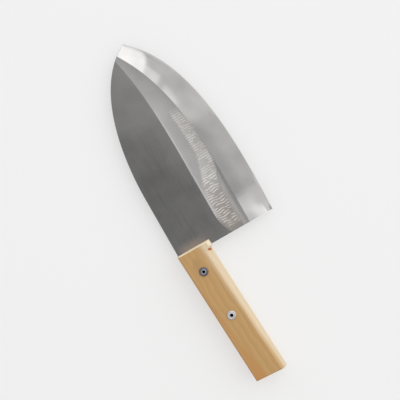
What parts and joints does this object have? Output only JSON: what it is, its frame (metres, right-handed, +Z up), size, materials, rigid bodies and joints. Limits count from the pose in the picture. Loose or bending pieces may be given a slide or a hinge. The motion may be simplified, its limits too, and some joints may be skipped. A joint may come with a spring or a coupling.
{
  "type": "broad sashimi knife",
  "caption": "Broad pointed fish knife: wide wheel-ground blade with a curved belly and falling spine, its tang riveted into a plain wooden handle.",
  "frame": {"origin": "middle of the knife's bounding box, at the height of the surface that the handle's side lies on", "axes": "+X from the butt to the tip, +Y from the edge to the spine, +Z up, out of the side that shows the rivets' flanges"},
  "size_m": [0.3104, 0.0954, 0.0212],
  "materials": {
    "blade_steel": "ground satin",
    "handle_wood": "sanded and oiled",
    "rivet_aluminium": "drawn, slightly dulled",
    "pin_steel": "broken, dull",
    "washer_steel": "stamped, plated"
  },
  "bodies": {
    "root": {"blade": "blade_steel", "handle": "handle_wood", "front_rivet": "rivet_aluminium", "rear_rivet": "rivet_aluminium", "front_rivet_pin": "pin_steel", "rear_rivet_pin": "pin_steel", "front_washer": "washer_steel", "rear_washer": "washer_steel"}
  },
  "joints": []
}
